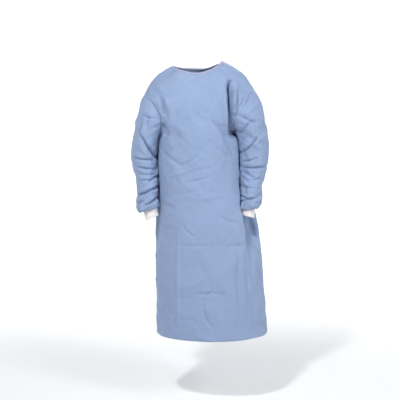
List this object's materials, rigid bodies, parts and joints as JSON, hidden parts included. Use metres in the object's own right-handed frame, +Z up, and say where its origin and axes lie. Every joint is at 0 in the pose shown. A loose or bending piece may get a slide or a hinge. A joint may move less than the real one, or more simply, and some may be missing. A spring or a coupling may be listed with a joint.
{
  "type": "surgical gown",
  "caption": "Long-sleeved surgical gown as worn, with a round bound neck, rib-knit cuffs, an overlapping back and tied waist tapes.",
  "frame": {"origin": "the middle of the neck opening at the shoulder line, where the wearer's shoulders hold the gown up", "axes": "+Z up, -Y to the wearer's front, +X to the wearer's left"},
  "size_m": [0.5981, 0.3508, 1.1921],
  "materials": {
    "gown_cloth": "matt",
    "cuff_knit": "matt",
    "neck_binding": "matt",
    "neck_tab": "matt",
    "tie_tape": "matt"
  },
  "bodies": {
    "root": {"back_panel_left": "gown_cloth", "back_panel_right": "gown_cloth", "cuff_left": "cuff_knit", "cuff_right": "cuff_knit", "front_panel": "gown_cloth", "neck_binding": "neck_binding", "neck_tab": "neck_tab", "sleeve_left": "gown_cloth", "sleeve_right": "gown_cloth", "tie_flap_stretch": "tie_tape", "tie_knot": "tie_tape", "tie_side_stretch": "tie_tape", "tie_tail_long": "tie_tape", "tie_tail_short": "tie_tape"}
  },
  "joints": []
}
